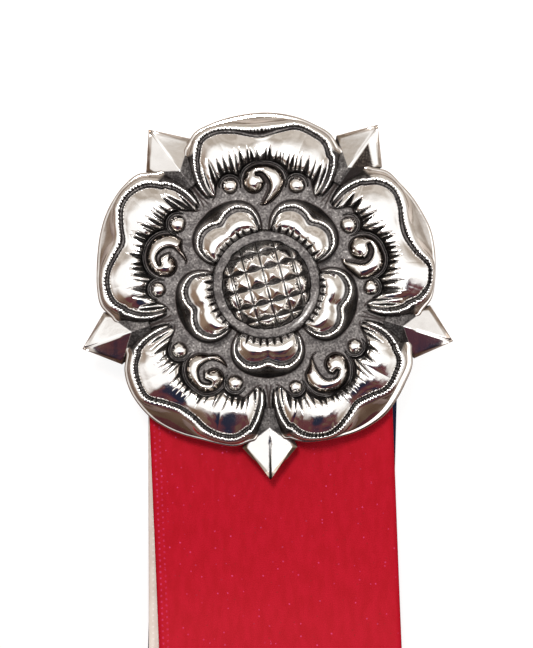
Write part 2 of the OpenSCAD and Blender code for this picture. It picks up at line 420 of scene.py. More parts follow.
# Outer petals. Rows run from a petal's middle to its end; heights and lengths in mm
outerPetal = {
    # rim angle, rim radius, rim to crest, inner angle, inner radius, bulge height, share of full height
    "rows": [
        (0, 17.7, 1.75, 0, 12.5, 2.98, 1),
        (9, 17.7, 1.3, 7, 12.4, 3.32, 1),
        (18, 17.4, 0.85, 12, 12.3, 3.55, 1),
        (25.5, 17, 0.95, 15.5, 12.2, 3.5, 1),
        (30.2, 16.1, 1.25, 20.4, 11.9, 3.35, 1),
        (33.3, 14.67, 1.1, 23.9, 11.5, 3.15, 1),
        (35.3, 13, 0.95, 26.3, 11, 2.95, 0.97),
        (35.6, 11.6, 0.8, 29, 10.5, 2.75, 0.9),
        (34.6, 10.3, 0.35, 31.4, 10.3, 2.6, 0.75),
    ],
    # mm from the place that the two shares give, share to the crest, share on from the crest, height, share
    # of the bulge height added, steps to the next row, and, 0 if left out, grey oxide and painted shade,
    # black oxide and painted shade, share of the lip's extra width
    "profile": [
        (0, 0, 0, 0, 0, 1, 0.2),
        (0, 0, 0, 0.7, 0, 1, 0.1),
        (0, 0, 0, 1.5, 0, 1),
        (0.06, 0, 0, 1.66, 0, 2, 0, 0, 0.1),
        (0.24, 0, 0, 1.7, 0, 2, 0, 0, 1),
        (0.31, 0, 0, 1.73, 0, 3, 0, 0, 1),
        (0.22, 0.22, 0, 1.92, 0, 4, 0, 0, 0.6),
        (0.05, 0.48, 0, 2.2, 0, 4, 0, 0, 0.3),
        (-0.28, 0.8, 0, 2.52, 0, 3, 0, 0, 0.1),
        (-0.5, 1, 0, 2.73, 0, 3),
        (-0.25, 1, 0, 2.88, 0, 3),
        (0.0, 1, 0, 2.95, 0, 3),
        (0.13, 1, 0, 2.9, 0, 3),
        (0.22, 1, 0, 2.56, 0, 3, 1, 0.55),
        (0.31, 1, 0, 2.44, 0, 3, 1, 0.48),
        (0.58, 1, 0, 2.45, 0, 2, 1, 0.4),
        (0.65, 1, 0, 2.5, 0, 3, 0.95, 0.45),
        (0.66, 1, 0.03, 2.62, 0, 3, 0.1),
        (0.64, 1, 0.12, 2.03, 0.22, 4),
        (0.6, 1, 0.25, 1.3, 0.5, 4),
        (0.6, 1, 0.4, 0.65, 0.75, 4),
        (0.6, 1, 0.55, 0.21, 0.92, 4),
        (0.6, 1, 0.7, 0, 1, 4),
        (0.6, 1, 0.83, 0.08, 0.965, 4),
        (0.6, 1, 0.93, 0.6, 0.68, 3),
        (0, 1, 0.97, 1.2, 0.26, 2, 0.4, 0.1),
        (0, 1, 1, 1.45, 0, 2, 1, 0.6),
    ],
    "stations": 560,
    "crestTick": {"pitch": 0.345, "depth": 0.13, "from": 0.12, "reach": 0.15},
    "greyRim": (14.6, 16.2),  # painted shade: the outer slope is darkened inside these radii
    "shades": (0.55, 0.42),  # of the flat lip and of the slope up to the crest
    "cutFloor": 1.65,  # height that no cut goes below
    "foot": (1.65, 2.1, 0.42),  # black oxide and painted shade at the foot: black from this height to that one, how black
    "rimFade": (28.5, 32),  # angles where the petal's own rim and crest pass into the table's
    "crestFade": (29.5, 36.5),
    "mouth": (4.4, 5.2),  # mm across, where the round mouth passes into the table's inner edge
}

# Each outer petal holds a scroll in its mouth: a ball and a band that meet, parted by a hooked channel. From
# the top petal anticlockwise, in mm: the scroll's middle, its outline's radii at the turns below, the ball
# (across, outwards, radius), how black the channel is from black oxide and painted shade, two beads, the
# channel (across, outwards, half width)
outlineTurns = (-135, -90, -60, -45, -30, 0, 30, 60, 90, 120, 150, 180)
scrollHands = [dict(zip(("middle", "outline", "ball", "darkOxideAndShade", "beads", "channel"), row)) for row in [
    ((0, 10.7), (2.5, 2.5, 2.12, 2.05, 2.0, 2.05, 1.96, 1.77, 1.7, 1.89, 2.15, 2.2),
     (-1.1, -0.2, 1.08), 0.9, [(-3.55, 10.25, 0.8), (3.3, 10.2, 0.84)],
     [(-0.72, 0.72, 0.1), (-0.3, 0.67, 0.15), (0.15, 0.1, 0.18), (0.36, -0.62, 0.2),
                 (0.1, -1.34, 0.22), (-0.3, -2.06, 0.22)]),
    ((0, 10.7), (2.3, 2.17, 1.65, 1.75, 2.2, 2.1, 2.12, 2.09, 2.06, 2.17, 2.3, 2.3),
     (-1.1, -0.3, 1.1), 0.3, [(-3.65, 10.5, 0.75), (3.35, 10.55, 0.85)],
     [(-1.13, 0.46, 0.1), (-0.5, 0.77, 0.17), (0.2, 0.4, 0.25), (0.57, -0.3, 0.27),
                 (0.2, -1.13, 0.27), (-0.2, -1.86, 0.22)]),
    ((0, 10.7), (2.1, 1.95, 1.65, 1.75, 1.95, 2.2, 2.2, 2.15, 2.1, 2.3, 2.2, 2.05),
     (-1.05, 0.2, 1.0), 0.3, [(-3.1, 10.1, 0.8), (3.5, 10.6, 0.8)],
     [(-0.93, 0.88, 0.12), (-0.2, 1.08, 0.2), (0.42, 0.45, 0.28), (0.46, -0.2, 0.28),
                 (0.05, -0.95, 0.28), (-0.85, -1.2, 0.27), (-1.8, -1.1, 0.3)]),
    ((0.38, 10.9), (2.4, 2.4, 2.0, 2.1, 2.35, 2.35, 2.3, 2.15, 2.15, 2.2, 2.25, 2.34),
     (-1.13, -0.1, 1.2), 0.3, [(-3.4, 10.5, 0.75), (3.95, 10.15, 0.66)],
     [(-0.78, 0.55, 0.12), (-0.28, 0.72, 0.2), (0.24, 0.35, 0.32), (0.36, -0.2, 0.36),
                 (0.24, -1.0, 0.42), (-0.05, -1.8, 0.5)]),
    ((0.5, 10.5), (2.4, 2.4, 2.2, 2.25, 2.4, 2.2, 2.25, 2.1, 1.88, 1.97, 2.1, 2.15),
     (-0.95, -0.15, 1.2), 0.7, [(-3.05, 10.0, 0.84), (3.75, 10.05, 0.75)],
     [(-0.9, 0.82, 0.12), (-0.3, 0.82, 0.17), (0.33, 0.3, 0.2), (0.48, -0.42, 0.2),
                 (0.12, -1.14, 0.2), (-0.2, -1.76, 0.2)]),
]]

# No two outer petals are quite alike. From the top one anticlockwise: the crest's and the rim's radius at
# these angles across a petal; how much wider the groove's outer wall is in the middle; the cuts' tips
# (outwards, how they fall away to the left and to the right), boldness and blackness, which is black oxide
# and painted shade; width of the grey band over the scroll; share of the groove's full width
handAngles = (-30, -24, -18, -12, -6, 0, 6, 12, 18, 24, 30)
outerHands = [dict(zip(("crest", "rim", "wall", "tips", "bold", "darkOxideAndShade", "band", "groove"), row)) for row in [
    ((14.5, 16.4, 16.8, 16.5, 16.05, 16.05, 16.3, 16.75, 16.5, 15.95, 14.4),
     (16.35, 17.3, 17.5, 17.6, 17.65, 17.7, 17.65, 17.5, 17.2, 16.85, 15.9), 0.38,
     (14.6, 0.035, 0.04), 1.0, 0.6, 0.65, 0.74),
    ((14.1, 15.95, 16.6, 16.6, 16.1, 15.75, 16.5, 17.2, 17.05, 16.1, 13.9),
     (16.1, 17.15, 17.4, 17.5, 17.65, 17.85, 18, 18, 17.85, 17.4, 16), 0.08,
     (14.95, 0.07, 0.055), 1.0, 0.36, 0.45, 0.74),
    ((14.7, 16.05, 16.4, 16.25, 15.75, 15.65, 16.2, 17.05, 16.75, 16, 14.6),
     (16.1, 16.9, 17.1, 17.3, 17.65, 17.95, 18.1, 18, 17.7, 17.05, 15.9), 0,
     (14.85, 0.1, 0.06), 0.78, 0.36, 0.4, 0.66),
    ((13.9, 15.8, 16.35, 16.5, 15.85, 15.5, 16.15, 16.75, 16.6, 15.9, 14.2),
     (16.2, 17.1, 17.45, 17.8, 18.05, 18, 17.75, 17.35, 17, 16.6, 15.9), 0,
     (14.9, 0.075, 0.075), 0.78, 0.34, 0.85, 0.66),
    ((14.1, 15.8, 16.5, 16.25, 15.65, 15.5, 15.95, 17, 16.95, 16.1, 13.8),
     (16.1, 17.05, 17.25, 17.5, 17.65, 17.8, 17.7, 17.5, 17.3, 17, 16.1), 0.1,
     (14.5, 0.085, 0.04), 0.95, 0.6, 0.45, 0.74),
]]

# Under a petal: mm from the place that the two shares give, the two shares, height, steps to the next row
undersideRows = [
    (0, 1, 1, 0, 1),
    (0, 1, 0.93, 0, 1),
    (0, 1, 0.86, 0.9, 1),
    (0, 1, 0.68, 2.1, 2),
    (0, 1, 0.45, 2.5, 2),
    (0, 1, 0.26, 1.9, 1),
    (0, 1, 0.12, 1.3, 1),
    (0.1, 1, 0, 0, 1),
    (0, 0.3, 0, 0, 1),
    (0, 0, 0, 0, 1),
]

# Cuts in the mouth of an outer petal
mouthCuts = {
    "count": 23,
    "reach": 5.75,  # mm to each side, at the foot of the cuts
    "fan": 1.14,  # how much further apart their tips are
    "jitter": (0.2, 0.85),  # across and along
    "halfWidth": 0.31,
    "depth": 0.65,
    "between": 10,  # thin short cuts at random places
}

# The mouth's edge passes round the rings of the scroll and the beads. Ovals: across, outwards, half width,
# half height
mouthFloor = 10.9
ringReach = 0.45


def mouthOvals(hand):
    cx, cy = hand["middle"]
    right, top, left = np.interp((0, 90, 180), outlineTurns, hand["outline"])
    scroll = (cx + (right - left) / 2, cy, (left + right) / 2 + ringReach, top + ringReach)
    return [scroll] + [(bx, by, r + ringReach, r + ringReach) for bx, by, r in hand["beads"]]


def mouthEdge(ovals, x):
    edge = np.full_like(x, mouthFloor)
    for cx, cy, wide, high in ovals:
        edge = np.maximum(edge, cy + high * np.sqrt(np.maximum(1 - ((x - cx) / wide) ** 2, 0)))
    return edge


def cutFoot(ovals, x):
    if abs(x) > 4.5:
        return 11.25 - 0.95 * (abs(x) - 4.5)
    return min(float(mouthEdge(ovals, x)), 12.6 - 0.075 * x * x) - 0.1


# Cuts: foot and tip (across, outwards), half width, depth, blackness (black oxide and painted shade)
def makeCuts(plan, chance, hand, ovals):
    top, fallLeft, fallRight = hand["tips"]
    cuts = []
    for i in range(plan["count"] + plan["between"]):
        main = i < plan["count"]
        place = 2 * i / (plan["count"] - 1) - 1 if main else chance.uniform(-0.75, 0.75)
        x = plan["reach"] * place + chance.uniform(-0.12, 0.12)
        tipX = x * plan["fan"] + chance.uniform(-1, 1) * plan["jitter"][0]
        fall = fallLeft if tipX < 0 else fallRight
        tipY = top - fall * tipX**2 - chance.uniform(0, 1) * plan["jitter"][1]
        size = chance.uniform(0.5, 1.3) * hand["bold"]
        if not main:
            size *= 0.42
            tipY -= chance.uniform(0, 0.7)
        darkOxideAndShade = hand["darkOxideAndShade"] + chance.uniform(-0.3, 0.3)
        foot = cutFoot(ovals, x)
        tipY = max(tipY, foot + 1.1)
        cuts.append((x, foot, tipX, tipY, plan["halfWidth"] * size, plan["depth"] * size, darkOxideAndShade))
    return cuts


# How far into a cut a place is, from 0 outside to 1 at the bottom, how deep it is there and how black: black
# oxide and painted shade
def cutField(cuts, x, y):
    share = np.zeros_like(x)
    depth = np.zeros_like(x)
    black = np.zeros_like(x)
    for footX, footY, tipX, tipY, halfWidth, full, darkOxideAndShade in cuts:
        runX = tipX - footX
        runY = tipY - footY
        length = math.hypot(runX, runY)
        along = ((x - footX) * runX + (y - footY) * runY) / length**2
        off = np.abs((x - footX) * runY - (y - footY) * runX) / length
        left = np.clip(1 - np.clip(along, 0, 1), 1e-4, 1)
        here = np.clip(1 - off / (halfWidth * left**0.55), 0, 1) * (along < 1) * (along > -0.6)
        depth = np.maximum(depth, full * left**0.5 * here)
        here = here * np.clip(3 * left, 0, 1)
        share = np.maximum(share, here)
        black = np.maximum(black, smooth(here, 0.25, 0.9) * darkOxideAndShade)
    return share, depth, black


def handRadius(radii, degrees):
    step = handAngles[1] - handAngles[0]
    at = np.clip((degrees - handAngles[0]) / step, 0, len(handAngles) - 1)
    return blendRows([(r,) for r in radii], at)[..., 0]


# How far from the rim, on the way across the petal, the crest of the given radii lies
def crestDistance(radii, rim, across, guess):
    inward = (rim * across).sum(-1)
    away = guess
    for _ in range(12):
        crest = rim + across * away[..., None]
        radius = handRadius(radii, np.degrees(np.arctan2(crest[..., 0], crest[..., 1])))
        reach = inward**2 - (rim**2).sum(-1) + radius**2
        away = 0.5 * away + 0.5 * np.clip(-inward - np.sqrt(np.maximum(reach, 0)), 0.35, 2.8)
    return away


# The flat lip outside the crescent is wider at the rose's top and at its lower right
def lipWidth(rimAngle, degrees):
    fromTop, fromRight = [(degrees - rimAngle + turn) % 360 - 180 for turn in (180, 310)]
    return 0.16 * bell(fromTop, 0, 24) + 0.38 * bell(fromRight, 0, 19)


# Columns at even distances along a petal's crest: the way along it and the table's values. An outer petal has
# ovals, and its plan then holds its own rim and crest
def petalOutline(plan, ovals):
    rows = [(-r[0], r[1], r[2], -r[3], *r[4:]) for r in plan["rows"][:0:-1]] + plan["rows"]
    dense = np.linspace(0, len(rows) - 1, 3000)
    table = blendRows(rows, dense)
    arc = wayAlong(polar(table[:, 0], table[:, 1] - table[:, 2]))
    length = np.linspace(0, arc[-1], plan["stations"])[:, None]
    columns = np.moveaxis(blendRows(rows, np.interp(length, arc, dense)), -1, 0)
    rimAngle, rimRadius, toCrest, inAngle, inRadius, bulge, share = columns
    inside = polar(inAngle, inRadius)
    if ovals:
        fade = 1 - smooth(np.abs(rimAngle), *plan["rimFade"])
        rimRadius = rimRadius + (handRadius(plan["rim"], rimAngle) - rimRadius) * fade
        edge = np.minimum(inside[..., 1] + 0.6, mouthEdge(ovals, inside[..., 0]))
        middle = 1 - smooth(np.abs(inside[..., 0]), *plan["mouth"])
        inside[..., 1] += (edge - inside[..., 1]) * middle
    rim = polar(rimAngle, rimRadius)
    span = np.linalg.norm(inside - rim, axis=-1)
    across = (inside - rim) / span[..., None]
    if ovals:
        change = crestDistance(plan["crest"], rim, across, toCrest) - toCrest
        known = np.flatnonzero(np.abs(rimAngle) < plan["crestFade"][0])
        change[: known[0]] = change[known[0]]
        change[known[-1] :] = change[known[-1]]
        toCrest = toCrest + change * (1 - smooth(np.abs(rimAngle), *plan["crestFade"]))
    return length, rimAngle, rim, inside, across, span, toCrest, bulge, share


# Dark, notched line beside the crest: its strength from 0 to 1
def crestNotches(tick, length, beyondCrest, seed):
    wobble = 0.12 * np.sin(length * 1.7 + seed) + 0.05 * np.sin(length * 5.3 + 2 * seed)
    beat = np.clip(1.15 * np.cos((length + wobble) * 2 * math.pi / tick["pitch"]), 0, 1) ** 1.5
    endGap = np.minimum(length, length[-1] - length)
    return smooth(endGap, 0.8, 3) * beat * bell(beyondCrest, tick["from"], tick["reach"])


def petalPiece(name, plan, degrees, seed, cuts, ovals=None):
    length, rimAngle, rim, inside, across, span, toCrest, bulge, share = petalOutline(plan, ovals)
    rows = [(*row, 0, 0, 0)[:9] for row in plan["profile"]]
    top = blendRows(rows, stepPlaces(rows, 5))
    below = [(*row[:4], 0, row[4], 0.6, 0.3, 0) for row in undersideRows]
    profile = np.concatenate([top, blendRows(below, stepPlaces(below, 5))])
    isTop = np.arange(len(profile)) < len(top)
    shift, toward, onward, fixed, swell, _, greyOxideAndShade, blackOxideAndShade, lip = profile.T[:, None]

    # from the rim to the inner edge
    extra = lipWidth(rimAngle, degrees) * smooth(toCrest, 0.3, 0.9) * plan["lip"]
    narrowIn = np.clip(toCrest / 0.6, 0.6, 1) * plan["groove"]
    narrow = np.where((toward < 1) | (shift < 0), np.clip(toCrest, 0.4, 1), narrowIn)
    wall = plan["wall"] * bell(rimAngle, -1, 6) * smooth(shift, 0.13, 0.31)
    away = shift * narrow * (1 - onward) + toward * (toCrest + wall) + onward * (span - toCrest) + lip * extra
    away = np.clip(away, 0, span)
    away[:, isTop] = np.maximum.accumulate(away[:, isTop], 1)
    x = rim[..., 0] + across[..., 0] * away
    y = rim[..., 1] + across[..., 1] * away
    endGap = np.minimum(length, length[-1] - length)
    room = np.where(isTop, 1, np.clip((span - 2.6) / 1.5, 0, 1))
    height = (fixed + swell * bulge) * share * (0.5 + 0.5 * smooth(endGap, 0, 0.9)) * room

    notches = crestNotches(plan["crestTick"], length, away - toCrest, seed) * isTop
    height = height - plan["crestTick"]["depth"] * notches
    onBulge = isTop & (away > toCrest + 0.75)
    cutShare, cutDepth, cutBlack = [field * onBulge for field in cutField(cuts, x, y)]
    height = np.maximum(height - cutDepth, np.minimum(height, plan["cutFloor"]))
    # grey and black in the notches and the cuts: oxide and painted shade
    greyOxideAndShade = np.maximum.reduce(np.broadcast_arrays(greyOxideAndShade, notches * 1.3, smooth(cutShare, 0.16, 0.6)))
    blackOxideAndShade = np.maximum.reduce(np.broadcast_arrays(blackOxideAndShade, notches * 1.15, cutBlack))
    if ovals:
        edgeGap = span - away
        ragged = 0.12 * np.sin(x * 9 + seed) + 0.08 * np.sin(x * 23 + 2 * seed)
        band = plan["band"] * (0.15 + 0.85 * bell(x, 0, 1.9))
        greyOxideAndShade = np.maximum(greyOxideAndShade, onBulge * (1 - smooth(edgeGap + ragged, 0.7 * band, band)))
        # black along the bulge's inner edge: painted shade and black oxide
        blackOxideAndShade = np.maximum(blackOxideAndShade, onBulge * (0.6 - 0.6 * smooth(edgeGap, 0.04, 0.2)))
        # painted shade on the outer slope near the petal's ends, put into the grey mark
        onSlope = isTop & (away < toCrest - 0.1)
        greyOxideAndShade = np.maximum(greyOxideAndShade, onSlope * (1 - smooth(np.hypot(x, y), *plan["greyRim"])))

    chance = np.random.default_rng(seed)
    ripple = np.sin(1.9 * x + 0.7 * y + chance.uniform(0, 6))
    ripple = ripple * np.sin(1.3 * y - 0.8 * x + chance.uniform(0, 6))
    height = height + 0.025 * ripple * isTop * smooth(height, 1.5, 2.5)
    outwards = (away - extra) / toCrest
    shade = isTop * (1 - smooth(outwards, 0.45, 0.72)) * np.where(outwards < 0.27, *plan["shades"])
    # black at the foot of the petal: painted shade and black oxide
    footLow, footHigh, footOxideAndShade = plan["foot"]
    blackOxideAndShade = np.maximum(blackOxideAndShade, footOxideAndShade * (1 - smooth(height, footLow, footHigh)) * (away > 0.35 * span))
    noteFootprint(np.concatenate([rim, inside])[:, 0], degrees)
    points = intoRose(stacked(x, y, height), degrees)
    return moldedGrid(name, points, {"greyOxideAndShade": greyOxideAndShade, "blackOxideAndShade": blackOxideAndShade, "shade": shade})


footprints = []  # outlines on the rose's ground, in the rose's frame, for the dark lines round the relief: painted shade and black oxide at its foot


def noteFootprint(points, degrees):
    footprints.append(stacked(*turned(*points.T, degrees)))


def finishSilver(mesh):
    finishPiece(mesh, silver, "rose")


pitch = 360 / rose["petals"]
for k, hand in enumerate(outerHands):
    ovals = mouthOvals(scrollHands[k])
    cuts = makeCuts(mouthCuts, np.random.default_rng(40 + k), hand, ovals)
    own = {**outerPetal, **hand, "lip": 1}
    finishSilver(petalPiece(f"outer_petal_{k + 1}", own, k * pitch, 11 + k, cuts, ovals))
print("outer petals made")

# Inner petals: the same columns
innerPetal = {
    "rows": [
        (0, 9.55, 1.4, 0, 5.45, 4.3, 1),
        (7, 9.48, 0.95, 5, 5.45, 4.4, 1),
        (14, 9.32, 0.62, 10.5, 5.45, 4.5, 1),
        (21, 8.95, 0.56, 16, 5.45, 4.45, 1),
        (27, 8.25, 0.5, 20.5, 5.45, 4.35, 1),
        (31.2, 7.2, 0.46, 24.5, 5.5, 4.2, 0.97),
        (32.6, 6.2, 0.36, 28, 5.55, 4, 0.93),
        (32, 5.5, 0.15, 30.4, 5.45, 3.8, 0.88),
    ],
    "profile": [
        (0, 0, 0, 0.7, 0, 1, 1, 0.5),
        (0, 0, 0, 1.55, 0, 2, 1, 0.7),
        (0.08, 0, 0, 1.8, 0, 2, 0.9, 0.3),
        (0.04, 0.35, 0, 2.65, 0, 3, 0.5),
        (0, 0.68, 0, 3.45, 0, 4, 0.4),
        (-0.17, 1, 0, 3.98, 0, 3, 0.1),
        (0, 1, 0, 4.12, 0, 3),
        (0.14, 1, 0, 4.05, 0, 3),
        (0.23, 1, 0, 3.8, 0, 2, 0.9, 0.1),
        (0.31, 1, 0, 3.7, 0, 3, 1),
        (0.5, 1, 0, 3.71, 0, 3, 1),
        (0.58, 1, 0.05, 3.8, 0, 3, 0.4),
        (0.5, 1, 0.2, 1.75, 0.5, 3),
        (0.5, 1, 0.38, 0.4, 0.88, 3),
        (0.5, 1, 0.55, 0, 0.99, 3),
        (0.5, 1, 0.7, 0.15, 0.93, 3),
        (0.5, 1, 0.86, 0.85, 0.68, 3),
        (0, 1, 0.96, 1.6, 0.35, 2, 0.4, 0.2),
        (0, 1, 1, 2.55, 0, 2, 1, 0.7),
    ],
    "stations": 280,
    "crestTick": {"pitch": 0.33, "depth": 0.09, "from": 0.2, "reach": 0.13},
    "shades": (0.9, 0.9),
    "cutFloor": 2.8,
    "foot": (2.65, 3.1, 0.75),
    "groove": 1,
    "wall": 0,
    "lip": 0,
}

teethPlan = {"pitch": 0.66, "foot": 5.35, "tip": 6.25, "halfWidth": 0.3, "depth": 0.6}


def makeTeeth(plan, chance):
    cuts = []
    degreesApart = math.degrees(plan["pitch"] / plan["foot"])
    count = int(29 / degreesApart)
    for i in range(-count, count + 1):
        angle = i * degreesApart + chance.uniform(-0.8, 0.8)
        foot = polar(angle, plan["foot"])
        tip = polar(angle + chance.uniform(-0.8, 0.8), plan["tip"] + chance.uniform(-0.25, 0.3))
        size = chance.uniform(0.75, 1.2)
        cuts.append((*foot, *tip, plan["halfWidth"] * size, plan["depth"] * size, chance.uniform(0.6, 1.1)))
    return cuts


for k in range(rose["petals"]):
    cuts = makeTeeth(teethPlan, np.random.default_rng(70 + k))
    finishSilver(petalPiece(f"inner_petal_{k + 1}", innerPetal, (k + 0.5) * pitch, 31 + k, cuts))
print("inner petals made")

scrollPlan = {
    "reach": 3.0,  # half the square that a scroll is modelled in
    "cells": 98,
    "foot": 0.42,  # upright part at the edge
    "height": 0.85,
    "ballRise": 0.12,  # how much higher the ball is
    "tail": 0.8,  # share of the height left at the tail's tip
    "shoulders": (1.1, 0.42),  # width of the rounding at the outer edge and at the channel
    "points": 60,  # along the channel
}
ringPlan = {
    "away": 0.3,  # from the scroll or the bead
    "halfWidth": 0.15,
    "height": 0.42,
    "turns": (-14, 194, 80),  # from, to, stations
    "around": 10,
}
beadPlan = {"rings": 16, "around": 40, "foot": 0.4, "rise": 0.65}


# How far a place is inside a scroll's outline and outside its channel, and the share of the way to the tail
def scrollField(line, hand, x, y):
    gaps = np.hypot(x[..., None] - line[:, 0], y[..., None] - line[:, 1]) - line[:, 2]
    nearest = gaps.argmin(-1)
    step = np.gradient(line[:, :2], axis=0)[nearest]
    onBall = step[..., 0] * (y - line[nearest, 1]) - step[..., 1] * (x - line[nearest, 0]) < 0
    turn = (np.degrees(np.arctan2(y, x)) + 135) % 360 - 135
    toEdge = np.interp(turn, outlineTurns, hand["outline"]) - np.hypot(x, y)
    ballX, ballY, ballRadius = hand["ball"]
    toBall = ballRadius - np.hypot(x - ballX, y - ballY)
    below = smooth(ballY - y, -0.35, 0.15) * (onBall | (nearest == 0))
    toEdge = toEdge + (toBall - toEdge) * below
    toTail = np.where(onBall, 0, smooth(nearest / (len(line) - 1), 0.4, 1))
    return toEdge, gaps.min(-1), toTail, toBall / ballRadius


def rounded(gap, width):
    return (1 - (1 - np.clip(gap / width, 0, 1)) ** 2) ** 0.6


def scrollMesh(plan, hand, degrees):
    side = np.linspace(-plan["reach"], plan["reach"], plan["cells"] + 1)
    x, y = np.meshgrid(side, side, indexing="ij")
    line = blendRows(hand["channel"], np.linspace(0, len(hand["channel"]) - 1, plan["points"]))
    toEdge, toChannel, toTail, toBall = scrollField(line, hand, x, y)
    outer, inner = plan["shoulders"]
    height = plan["height"] * (1 - (1 - plan["tail"]) * toTail) + plan["ballRise"] * smooth(toBall, 0, 0.8)
    gap = np.minimum(toEdge, toChannel)
    height = height * rounded(toEdge, outer) * rounded(toChannel, inner) + plan["foot"] * smooth(gap, 0, 0.1)
    z = rose["ground"] + np.where(gap > 0, height, np.maximum(gap * 4, -rose["sunk"]))
    place = stacked(x, y) + hand["middle"]
    noteFootprint(place[np.abs(gap) < 0.035], degrees)
    # a black channel also gets a dark line along it on the ground: painted shade and black oxide
    if hand["darkOxideAndShade"] > 0.5:
        noteFootprint(line[:, :2] + hand["middle"], degrees)
    # grey and black where the scroll meets the ground and its channel: oxide and painted shade; a brown
    # painted shade on its outer margin
    marks = {
        "greyOxideAndShade": 1 - smooth(gap, 0.02, 0.13),
        "blackOxideAndShade": 1 - smooth(gap, -0.05, 0.08),
        "shade": 0.85 - 0.85 * smooth(toEdge, 0.15, 0.75),
    }
    points = intoRose(np.concatenate([place, z[..., None]], -1), degrees)
    mesh = moldedGrid("scroll", points, marks, capped=False)
    floor = (rose["z"] + rose["ground"] - rose["sunk"] + 0.01) * mm
    shell = openShell(mesh)
    outside = [f for f in shell.faces if all(v.co.z < floor for v in f.verts)]
    bmesh.ops.delete(shell, geom=outside, context="FACES")
    closeShell(shell, mesh)
    return mesh


# A low ridge with a half-elliptic section, round a scroll or a bead
def ringMesh(middle, radii, plan, degrees):
    turn = np.linspace(*plan["turns"])
    outward = polar(90 - turn, 1)
    line = middle + outward * (np.interp(turn, *radii) + plan["away"])[:, None]
    fade = np.sin(np.linspace(0, math.pi, len(turn)))[:, None] ** 0.3
    a = np.linspace(0, math.pi, plan["around"])
    spread = (plan["halfWidth"] * fade + 0.01) * np.append(np.cos(a), (-1, 1, 1))
    rise = plan["height"] * fade * np.append(np.sin(a), (0, 0, 0))
    rise[:, -3:-1] = -rose["sunk"]
    flat = line[:, None] + outward[:, None] * spread[..., None]
    points = np.concatenate([flat, rose["ground"] + rise[..., None]], -1)
    # the ring is grey, and black where it meets the ground: oxide and painted shade
    return moldedGrid("ring", intoRose(points, degrees), {"greyOxideAndShade": 1, "blackOxideAndShade": 1 - smooth(rise, 0.0, 0.2)})


def beadMesh(bead, plan, degrees):
    cx, cy, radius = bead
    tilt = np.linspace(0, math.pi / 2, plan["rings"])
    turn = np.linspace(0, 2 * math.pi, plan["around"])[:, None]
    r = np.append(radius * np.sin(tilt), radius) * (1 + 0.03 * np.cos(3 * turn + 6 * cx))  # not quite round
    lift = np.append(plan["foot"] + plan["rise"] * radius * np.cos(tilt) ** 1.3, -rose["sunk"])
    points = stacked(cx + np.cos(turn) * r, cy + np.sin(turn) * r, rose["ground"] + lift)
    noteFootprint(points[:, -2, :2], degrees)
    # grey and black at the bead's foot: oxide and painted shade; a brown painted shade on its lower part
    return moldedGrid("bead", intoRose(points, degrees), {
        "greyOxideAndShade": 1 - smooth(lift, 0.04, 0.26),
        "blackOxideAndShade": 1 - smooth(lift, 0.0, 0.2),
        "shade": 0.7 - 0.7 * smooth(lift, 0.4, 0.65),
    })


def joinMeshes(name, meshes):
    joined = bmesh.new()
    for mesh in meshes:
        joined.from_mesh(mesh)
        bpy.data.meshes.remove(mesh)
    result = bpy.data.meshes.new(name)
    joined.to_mesh(result)
    joined.free()
    return result


parts = []
for k, hand in enumerate(scrollHands):
    turn = k * pitch
    parts.append(scrollMesh(scrollPlan, hand, turn))
    parts.append(ringMesh(hand["middle"], (outlineTurns, hand["outline"]), ringPlan, turn))
    for bead in hand["beads"]:
        parts.append(beadMesh(bead, beadPlan, turn))
        parts.append(ringMesh(bead[:2], ((0,), bead[2:]), ringPlan, turn))
finishSilver(joinMeshes("scrolls_and_beads", parts))
print("scrolls made")

# Sepal between two outer petals, in its own frame. Lengths in mm, out from the rose's middle; darkness 0 to 1
sepalPlan = {
    "outline": ((12.6, 1.2), (16.7, 2.85), (20.0, 0.02)),  # outwards, half width
    "rows": (24, 28),  # up to the widest place, and on to the tip
    "columns": (49, 5),  # across the two facets, and across one bevel
    "ridge": (2.35, 14.7, 0.98),  # height, where it begins to fall, height at the tip
    "facetEdge": (0.83, 1.12),  # share of the half width, height
    "edge": (0.8, 19.2, 0.3),  # height, where the bevel begins to flatten, share of its fall at the tip
    "crease": (0.09, 0.06, 15.4, 16.4),  # half width, depth, where it begins and is at its deepest
    "darkOxideAndShade": (0.3, (0.09, 0.09, 0.09)),  # black oxide and painted shade in the crease: darkness, its half widths on the way to the tip
    "darkOxideAndShadePlaces": (16, 17.2, 19.5),
    "root": (0.72, 14.3, 15.0),  # grey up to here, and further out to the sides
    "darkReflection": (0, 0.94, 18.03, 18.33),  # painted dark reflection on the facet beside the petals: darkness, slant and place of its outer edge
    "bevel": (0.42, 0.62),  # mm across, where the shaded edge ends
    "bevelShade": 0.6,
}
sepalHands = {  # what is different in the lowest and in the upper right one, by their turns
    180: {"ridge": (2.0, 14.7, 0.98), "darkOxideAndShade": (0.85, (0.05, 0.14, 0.24)), "bevelShade": 0.95},
    324: {"darkReflection": (0.72, 0.94, 18.03, 18.33)},
}


